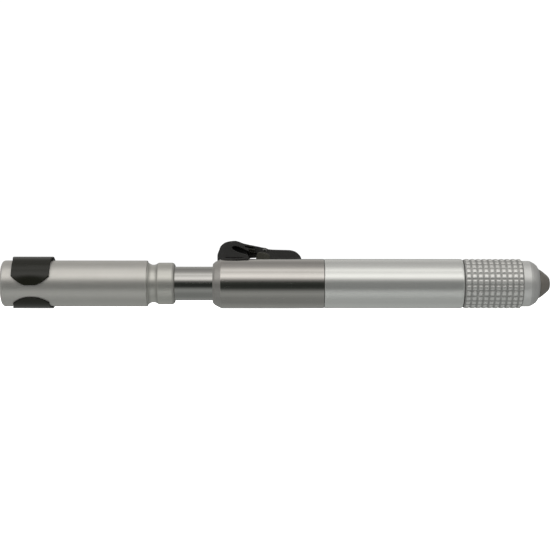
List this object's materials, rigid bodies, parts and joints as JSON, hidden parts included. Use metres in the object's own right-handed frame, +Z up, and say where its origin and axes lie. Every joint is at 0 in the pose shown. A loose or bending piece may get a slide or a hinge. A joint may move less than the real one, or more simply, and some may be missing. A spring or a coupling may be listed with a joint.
{
  "type": "mini pump",
  "caption": "Slim bicycle mini pump with a sliding handle, polished plunger rod, knurled twist-lock head, rubber dust plug and a quick-release frame bracket.",
  "frame": {"origin": "centre of the bracket's mounting face, midway between its two bolt slots", "axes": "+X along the pump towards the nozzle, +Y out of the mounting face into the bicycle frame, +Z up; the pump's axis is parallel to X, 20 mm in front of the mounting face"},
  "size_m": [0.2228, 0.0302, 0.0276],
  "materials": {
    "satin_aluminium": "satin anodised",
    "handle_aluminium": "satin anodised, slightly darker",
    "polished_aluminium": "polished",
    "liner_aluminium": "plain drawn",
    "black_nylon": "moulded",
    "black_acetal": "turned",
    "black_rubber": "matt",
    "grey_rubber": "matt",
    "steel": "bright",
    "brass": "turned"
  },
  "bodies": {
    "bracket": {"bracket_spine": "black_nylon", "handle_clip": "black_nylon", "clip_screw": "steel", "clip_nut": "steel", "latch_base": "black_nylon", "latch_screw_1": "steel", "latch_screw_2": "steel", "latch_screw_3": "steel", "latch_screw_4": "steel", "lever_pin": "steel"},
    "lever": {"cam_lever": "black_nylon", "lever_pad": "black_rubber"},
    "barrel": {"front_sleeve": "polished_aluminium", "rod_guide": "black_acetal", "rod_wiper": "black_rubber", "cylinder_liner": "liner_aluminium", "seam_ring": "black_rubber", "barrel_tube": "satin_aluminium", "head_base": "black_acetal", "head_oring": "black_rubber", "collar_oring": "black_rubber", "valve_gland": "black_rubber", "barrel_shoe": "black_nylon", "shoe_screw_1": "steel", "shoe_screw_2": "steel"},
    "piston_body": {"piston": "black_acetal", "piston_oring": "black_rubber"},
    "handle": {"handle_tube": "handle_aluminium", "handle_end_cap": "handle_aluminium", "end_cap_oring": "black_rubber", "handle_collar": "handle_aluminium", "rod_lock_ring": "steel", "plunger_rod": "polished_aluminium", "rod_end_plug": "liner_aluminium", "return_bumper": "black_rubber", "piston_washer": "steel", "piston_screw": "steel"},
    "thrust": {"thrust_washer": "brass"},
    "lock_collar": {"knurled_lock_collar": "satin_aluminium", "nose_cap": "satin_aluminium"},
    "plug": {"dust_plug": "grey_rubber"},
    "ball": {"check_ball": "steel"}
  },
  "joints": [
    {"name": "pump_slide_out", "type": "slide", "parent": "bracket", "child": "barrel", "axis": [1, 0, 0], "range_m": [0, 0.03]},
    {"name": "lever_open", "type": "hinge", "parent": "bracket", "child": "lever", "pos_m": [0.0439, -0.007, 0.01345], "axis": [0, 1, 0], "range_deg": [0, 100]},
    {"name": "pump_stroke", "type": "slide", "parent": "barrel", "child": "piston_body", "axis": [1, 0, 0], "range_m": [-0.05, 0.0149]},
    {"name": "handle_turn", "type": "hinge", "parent": "piston_body", "child": "handle", "pos_m": [0.095, -0.02, 0], "axis": [1, 0, 0], "continuous": true},
    {"name": "collar_advance", "type": "slide", "parent": "barrel", "child": "thrust", "axis": [1, 0, 0], "range_m": [0, 0.001]},
    {"name": "collar_turn", "type": "hinge", "parent": "thrust", "child": "lock_collar", "pos_m": [0.137, -0.02, 0], "axis": [1, 0, 0], "range_deg": [0, 360]},
    {"name": "dust_plug_pull", "type": "slide", "parent": "lock_collar", "child": "plug", "axis": [1, 0, 0], "range_m": [0, 0.02]},
    {"name": "check_ball_lift", "type": "slide", "parent": "barrel", "child": "ball", "axis": [1, 0, 0], "range_m": [0, 0.0012]}
  ],
  "couplings": [
    {"joint": "collar_advance", "follows": "collar_turn", "m_per_rad": 0.000159}
  ]
}
